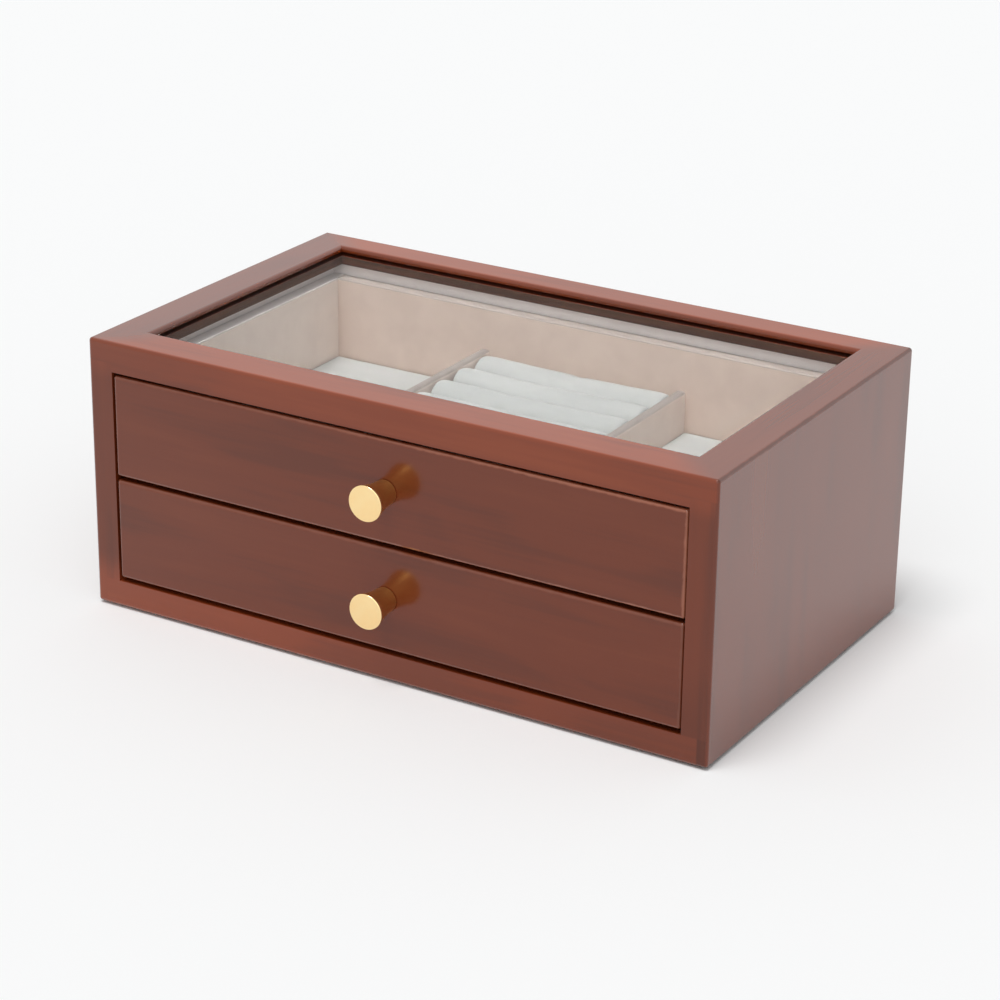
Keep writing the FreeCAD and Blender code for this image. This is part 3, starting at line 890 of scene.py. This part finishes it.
class JEWELRYBOX_OT_linings(bpy.types.Operator):
    """Line the drawers and the upper bay with cloth"""

    bl_idname = "jewelry_box.linings"
    bl_label = "Line the inside"

    def execute(self, context):
        cloth = settings().cloth
        for order, drawer in enumerate(DRAWERS):
            self.line_drawer(drawer, SEEDS_IN_DRAWER * order)
        # Lighter cloth in the upper bay: painted light for the shade under the frame.
        bay = suede_cloth("Suede bay lining", (cloth.bay_deep, cloth.bay))
        for side, (seed, cuts) in BAY_LININGS.items():
            panel = "back_panel" if side == "back" else f"{side}_side_panel"
            self.line(f"bay_lining_{side}", side, bay, "cabinet", panel, cloth.bay_thickness, seed, cuts)
        return {"FINISHED"}

    def line_drawer(self, drawer, first_seed):
        cloth = settings().cloth
        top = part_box(f"{drawer}_lining_back")[1].z
        back_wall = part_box(f"{drawer}_drawer_back_wall")[0].y
        walls, sides = (cloth.suede_deep, cloth.suede), (cloth.side_deep, cloth.side)
        # Painted shade on the crease and on the top of the fold of the back and front linings.
        suede = self.folded(f"Suede {drawer} lining", walls, top, cloth.fold_edge, cloth.fold)
        # The side linings are lighter, painted light, with painted shade on their crease and the bay colour,
        # painted light, on the top of the fold.
        painted_light_lining = self.folded(f"Suede {drawer} side lining", sides, top, cloth.side_edge, cloth.bay)
        for side, (seed, cuts) in DRAWER_LININGS.items():
            beside = side in ("left", "right")
            wall = f"{drawer}_drawer_{side}"
            self.line(
                f"{drawer}_lining_{side}", side, painted_light_lining if beside else suede, f"{drawer}_drawer",
                wall if side == "front" else wall + "_wall", cloth.lining_thickness, first_seed + seed, cuts,
                over_top=side != "front", wall_end=back_wall if beside else None,
            )

    def folded(self, name, colours, top, crease, over):
        """Lining cloth with painted colours on the crease and on the top of its fold, for the light and
        shade that fall there.
        """
        bands = [(top - 0.9 * MM, top - 0.5 * MM, crease), (top - 0.22 * MM, top - 0.1 * MM, over)]
        return suede_cloth(name, colours, bands=bands)

    def line(
        self, node, side, material, body, wall, thickness, seed, cuts, over_top=False, wall_end=None
    ):
        """Hangs cloth on a wall and, if asked to, over its top and there on past the wall's end."""
        cloth = settings().cloth
        low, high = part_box(node)
        facing = FACING[side]
        along_wall = Vector((abs(facing.y), abs(facing.x), 0.0))
        across, along = (0, 1) if facing.x else (1, 0)
        inner, outer = (high, low) if facing[across] > 0 else (low, high)
        foot, over = low.copy(), low.copy()
        foot[across], over[across] = inner[across], outer[across]
        over.z = high.z
        section = [foot, Vector((foot.x, foot.y, high.z))]
        fold = 0.0
        if over_top:
            section.append(over)
            fold = high[across] - low[across]
        run = (high[along] if wall_end is None else wall_end) - low[along]
        bm = folded_cloth(section, along_wall * run, facing, cloth.fold_round, cuts)
        rise = high.z - low.z
        past_end, area = 0.0, None
        if wall_end is not None:
            past_end = high[along] - wall_end
            area = run * (rise + fold) + past_end * fold
            end = [
                e for e in bm.edges
                if at_height(e, high.z) and all(v.co[along] > wall_end - NEAR for v in e.verts)
            ]
            draw_out(bm, bmesh.ops.extrude_edge_only(bm, edges=end), along_wall * past_end)
            bmesh.ops.recalc_face_normals(bm, faces=bm.faces[:])
            face_towards(bm, facing)
        ruffle(bm, bm.verts[:], cloth.unevenness, seed)
        piece = add_piece(
            f"cloth_{node}", mesh_of(node, bm), material, body, node, CLOTH_CREASE
        )
        solid = piece.modifiers.new("Cloth thickness", "SOLIDIFY")
        solid.thickness = thickness
        solid.offset = -1.0
        solid.use_even_offset = True
        even = piece.modifiers.new("Even shading", "WEIGHTED_NORMAL")
        even.keep_sharp = True


class JEWELRYBOX_OT_dividers(bpy.types.Operator):
    """Cover the two dividers of the upper drawer with cloth"""

    bl_idname = "jewelry_box.dividers"
    bl_label = "Cover the dividers"

    def execute(self, context):
        cloth = settings().cloth
        for seed, side in enumerate(("left", "right"), DIVIDER_SEED):
            node = f"{side}_divider"
            low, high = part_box(node)
            bm = self.board(low, high)
            ruffle(bm, bm.verts[:], cloth.unevenness, seed, 6 * MM)
            # The cover takes the lighter side colours, painted light, and a darker band over the top edge,
            # painted shade.
            painted_shade_band = (high.z - 1.3 * MM, high.z - 0.3 * MM, cloth.edge)
            cover = suede_cloth(
                f"Suede {node}", (cloth.side_deep, cloth.side), bands=[painted_shade_band],
                tone=PRESSED_TONE, pile=PRESSED_PILE,
            )
            add_piece(
                f"cloth_{node}", mesh_of(node, bm), cover, "upper_drawer", node,
                DIVIDER_CREASE,
            )
        return {"FINISHED"}

    def board(self, low, high):
        bm = bmesh.new()
        bmesh.ops.create_cube(bm, size=1.0)
        bmesh.ops.scale(bm, verts=bm.verts[:], vec=high - low)
        bmesh.ops.translate(bm, verts=bm.verts[:], vec=(low + high) / 2)
        top = [e for e in bm.edges if at_height(e, high.z) and reach(e).y > RUNS_ALONG]
        round_edges(bm, top, settings().soft.divider_round, ROUND_STEPS)
        long_edges = [e for e in bm.edges if reach(e).y > RUNS_ALONG]
        bmesh.ops.subdivide_edges(bm, edges=long_edges, cuts=DIVIDER_CUTS_ALONG, use_grid_fill=True)
        tall = [e for e in bm.edges if reach(e).z > RUNS_UP]
        bmesh.ops.subdivide_edges(bm, edges=tall, cuts=DIVIDER_CUTS_UP, use_grid_fill=True)
        return bm


class JEWELRYBOX_OT_pads(bpy.types.Operator):
    """Lay the velvet pads on the drawer floors"""

    bl_idname = "jewelry_box.pads"
    bl_label = "Lay the pads"

    def execute(self, context):
        cloth = settings().cloth
        velvet = suede_cloth("Velvet pad", (cloth.velvet_deep, cloth.velvet), (0.25, 1.0, 1.0))
        for seed, (node, body) in enumerate(PADS.items(), PAD_SEED):
            low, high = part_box(node)
            bm = self.card(low, high)
            swell = 0.0 if node == "ring_roll_base" else settings().soft.pad_swell
            top = [v for v in bm.verts if v.co.z > high.z - NEAR]
            ruffle(bm, top, swell, seed, 20 * MM)
            piece = add_piece(
                f"velvet_{node}", mesh_of(node, bm), velvet, body, node, CLOTH_CREASE
            )
        return {"FINISHED"}

    def card(self, low, high):
        soft = settings().soft
        size = high - low
        bm = bmesh.new()
        bmesh.ops.create_grid(
            bm, x_segments=ceil(size.x / soft.pad_cell), y_segments=ceil(size.y / soft.pad_cell), size=0.5
        )
        bmesh.ops.scale(bm, verts=bm.verts[:], vec=(size.x, size.y, 1.0))
        bmesh.ops.translate(bm, verts=bm.verts[:], vec=((low.x + high.x) / 2, (low.y + high.y) / 2, low.z))
        draw_out(bm, bmesh.ops.extrude_face_region(bm, geom=bm.faces[:]), (0.0, 0.0, size.z))
        bmesh.ops.recalc_face_normals(bm, faces=bm.faces[:])
        bm.normal_update()
        rim = [e for e in bm.edges if at_height(e, high.z) and e.calc_face_angle(0.0) > PAD_RIM]
        round_edges(bm, rim, soft.pad_round, PAD_ROUND_STEPS)
        return bm


class JEWELRYBOX_OT_rolls(bpy.types.Operator):
    """Stuff the velvet ring rolls of the upper drawer"""

    bl_idname = "jewelry_box.rolls"
    bl_label = "Stuff the ring rolls"

    def execute(self, context):
        cloth = settings().cloth
        velvet = suede_cloth("Velvet roll", (cloth.velvet_deep, cloth.velvet), (0.2, 1.0, 1.0))
        names = sorted(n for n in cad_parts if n.startswith("ring_roll_") and n != "ring_roll_base")
        if not names:
            raise RuntimeError("the frame has no ring rolls")
        covers = {node: self.slack_cover(node, seed) for seed, node in enumerate(names, ROLL_SEED)}
        starts = {node: [v.co.copy() for v in cover.data.vertices] for node, cover in covers.items()}
        self.stuff(covers.values())
        for node, cover in covers.items():
            mesh = cover.data
            self.settle(node, mesh, starts[node])
            bpy.data.objects.remove(cover)
            piece = add_piece(f"velvet_{node}", mesh, velvet, "upper_drawer", node)
            finer = piece.modifiers.new("Smooth cloth", "SUBSURF")
            finer.levels = finer.render_levels = 1
        return {"FINISHED"}

    def cells_of(self, node):
        """A merged copy of a roll's solid, made over into even cloth cells."""
        bm = bmesh.new()
        bm.from_mesh(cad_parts[node].data)
        bmesh.ops.remove_doubles(bm, verts=bm.verts[:], dist=NEAR)
        bmesh.ops.recalc_face_normals(bm, faces=bm.faces[:])
        copy = mesh_of(node + "_copy", bm)
        whole = put_in_scene(node + "_whole", copy)
        remesh = whole.modifiers.new("Cloth cells", "REMESH")
        remesh.mode = "VOXEL"
        remesh.voxel_size = settings().soft.voxel
        graph = bpy.context.evaluated_depsgraph_get()
        mesh = bpy.data.meshes.new_from_object(whole.evaluated_get(graph))
        bpy.data.objects.remove(whole)
        bpy.data.meshes.remove(copy)
        return mesh

    def slack_cover(self, node, seed):
        """The cloth of a roll, drawn in a little and enlarged about the roll's middle."""
        soft = settings().soft
        low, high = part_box(node)
        mesh = self.cells_of(node)
        bm = bmesh.new()
        bm.from_mesh(mesh)
        bm.normal_update()
        inset = soft.start_inset
        for v, inward in [(v, v.normal * -inset) for v in bm.verts]:
            v.co += inward
        ruffle(bm, bm.verts[:], soft.roll_variation, seed)
        bmesh.ops.translate(bm, verts=bm.verts[:], vec=-(low + high) / 2)
        bmesh.ops.scale(bm, verts=bm.verts[:], vec=Vector(EVENLY) * soft.sewing_scale)
        bm.to_mesh(mesh)
        bm.free()
        cover = put_in_scene(node + "_cover", mesh)
        foot = cover.vertex_groups.new(name="Foot")
        floor = (low.z - high.z) / 2 * soft.sewing_scale
        near = 2 * soft.voxel * soft.sewing_scale
        foot.add([v.index for v in mesh.vertices if v.co.z < floor + near], 1.0, "REPLACE")
        return cover

    def stuff(self, covers):
        """Blows the covers up by the pressure of their stuffing, with the foot held on its card."""
        soft = settings().soft
        scene = bpy.context.scene
        scene.frame_set(1)
        for cover in covers:
            cloth = cover.modifiers.new("Stuffing", "CLOTH")
            cloth.settings.use_pressure = True
            cloth.settings.uniform_pressure_force = soft.pressure
            cloth.settings.vertex_group_mass = "Foot"
            cloth.settings.effector_weights.gravity = 0.0
            cloth.collision_settings.use_collision = False
            cloth.point_cache.frame_start = 1
            cloth.point_cache.frame_end = soft.steps
        for step in range(1, soft.steps + 1):
            scene.frame_set(step)
        graph = bpy.context.evaluated_depsgraph_get()
        for cover in covers:
            swollen = cover.evaluated_get(graph).data
            places = [v.co.copy() for v in swollen.vertices]
            cover.modifiers.clear()
            for v, place in zip(cover.data.vertices, places):
                v.co = place
        scene.frame_set(1)

    def settle(self, node, mesh, starts):
        """Brings a roll back to size, caps its swelling and keeps it in its own place."""
        soft = settings().soft
        low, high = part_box(node)
        middle = (low + high) / 2
        least, most = low - ROLL_ROOM, high + ROLL_ROOM + Vector((0, 0, soft.most_swell))
        for v, start in zip(mesh.vertices, starts):
            swell = (v.co - start) / soft.sewing_scale
            if swell.length > soft.most_swell:
                swell *= soft.most_swell / swell.length
            place = start / soft.sewing_scale + middle + swell
            from_end = max(high.x - place.x, 0.0)
            if from_end < soft.pressed_end:
                place.x = high.x - from_end ** 2 / soft.pressed_end
            v.co = [min(max(p, a), b) for p, a, b in zip(place, least, most)]


class JEWELRYBOX_OT_stage(bpy.types.Operator):
    """Set the floor, the light and the camera"""

    bl_idname = "jewelry_box.stage"
    bl_label = "Set the stage"

    def execute(self, context):
        self.floor()
        self.room_light()
        self.lamps()
        self.camera()
        context.scene.view_settings.view_transform = "Standard"
        return {"FINISHED"}

    def floor(self):
        stage = settings().stage
        bm = bmesh.new()
        bmesh.ops.create_grid(bm, x_segments=1, y_segments=1, size=stage.floor_size / 2)
        bmesh.ops.translate(bm, verts=bm.verts[:], vec=(0.0, 0.0, -stage.floor_gap))
        floor = put_in_scene("Pale floor", mesh_of("Pale floor", bm))
        material, shader, _ = start_material("Pale floor")
        set_inputs(shader, {"Base Color": stage.floor, "Roughness": 1.0, "Specular IOR Level": 0.0})
        floor.data.materials.append(material)

    def room_light(self):
        """White for the camera and in reflections, and dimmer as a light."""
        world = bpy.data.worlds.new("Studio")
        world.use_nodes = True
        nodes = world.node_tree.nodes
        ray = nodes.new("ShaderNodeLightPath").outputs
        shown = math_node("MAXIMUM", ray["Is Camera Ray"], ray["Is Glossy Ray"])
        shown = math_node("MAXIMUM", shown, ray["Is Transmission Ray"])
        unscattered = math_node("LESS_THAN", ray["Diffuse Depth"], 0.5)
        shown = math_node("MULTIPLY", shown, unscattered)
        strength = blend(shown, settings().stage.ambient, 1.0)
        set_inputs(nodes["Background"], {"Color": WHITE, "Strength": strength})
        bpy.context.scene.world = world

    def lamps(self):
        """A lamp overhead and a softer one in front, far enough away to light the whole floor evenly."""
        stage = settings().stage
        for name, part in (("Overhead lamp", "lamp"), ("Front lamp", "fill")):
            light = bpy.data.lights.new(name, "SUN")
            light.energy = getattr(stage, part + "_strength")
            light.angle = getattr(stage, part + "_spread")
            side = Vector(getattr(stage, part + "_from"))
            hung = put_in_scene(name, light)
            hung.location = 2.0 * side
            hung.rotation_euler = side.to_track_quat("Z", "Y").to_euler()

    def camera(self):
        stage = settings().stage
        a, e, r = stage.azimuth, stage.elevation, stage.roll
        back = Vector((sin(a) * cos(e), -cos(a) * cos(e), sin(e)))
        level = Vector((cos(a), sin(a), 0.0))
        upright = back.cross(level)
        right = cos(r) * level + sin(r) * upright
        up = cos(r) * upright - sin(r) * level
        place = back * stage.distance + right * stage.offset_right + up * stage.offset_up
        lens = bpy.data.cameras.new("Camera")
        lens.lens = stage.lens
        lens.sensor_width = stage.film_width
        camera = put_in_scene("Camera", lens)
        camera.matrix_world = Matrix.Translation(place) @ Matrix((right, up, back)).transposed().to_4x4()
        bpy.context.scene.camera = camera


OPERATORS = (
    JEWELRYBOX_OT_case,
    JEWELRYBOX_OT_glass,
    JEWELRYBOX_OT_drawers,
    JEWELRYBOX_OT_knobs,
    JEWELRYBOX_OT_linings,
    JEWELRYBOX_OT_dividers,
    JEWELRYBOX_OT_pads,
    JEWELRYBOX_OT_rolls,
    JEWELRYBOX_OT_stage,
)


class JEWELRYBOX_PT_panel(bpy.types.Panel):
    """The steps that dress the jewelry box, and their settings"""

    bl_idname = "JEWELRYBOX_PT_panel"
    bl_label = "Jewelry Box"
    bl_space_type = "VIEW_3D"
    bl_region_type = "UI"
    bl_category = "Jewelry Box"

    def draw(self, context):
        for operator in OPERATORS:
            self.layout.operator(operator.bl_idname)
        for group in JewelryBoxSettings.__annotations__:
            values = getattr(context.scene.jewelry_box, group)
            box = self.layout.box()
            for value in values.__annotations__:
                box.prop(values, value)


GROUPS = (WoodFinish, ClothFinish, SoftSizes, KnobSizes, StageSettings, JewelryBoxSettings)
CLASSES = (*GROUPS, *OPERATORS, JEWELRYBOX_PT_panel)


def register():
    for cls in CLASSES:
        bpy.utils.register_class(cls)
    bpy.types.Scene.jewelry_box = PointerProperty(type=JewelryBoxSettings)


def unregister():
    del bpy.types.Scene.jewelry_box
    for cls in reversed(CLASSES):
        bpy.utils.unregister_class(cls)


def main():
    register()
    bpy.ops.jewelry_box.case()
    bpy.ops.jewelry_box.glass()
    bpy.ops.jewelry_box.drawers()
    bpy.ops.jewelry_box.knobs()
    bpy.ops.jewelry_box.linings()
    bpy.ops.jewelry_box.dividers()
    bpy.ops.jewelry_box.pads()
    bpy.ops.jewelry_box.rolls()
    bpy.ops.jewelry_box.stage()


if __name__ == "__main__":
    main()
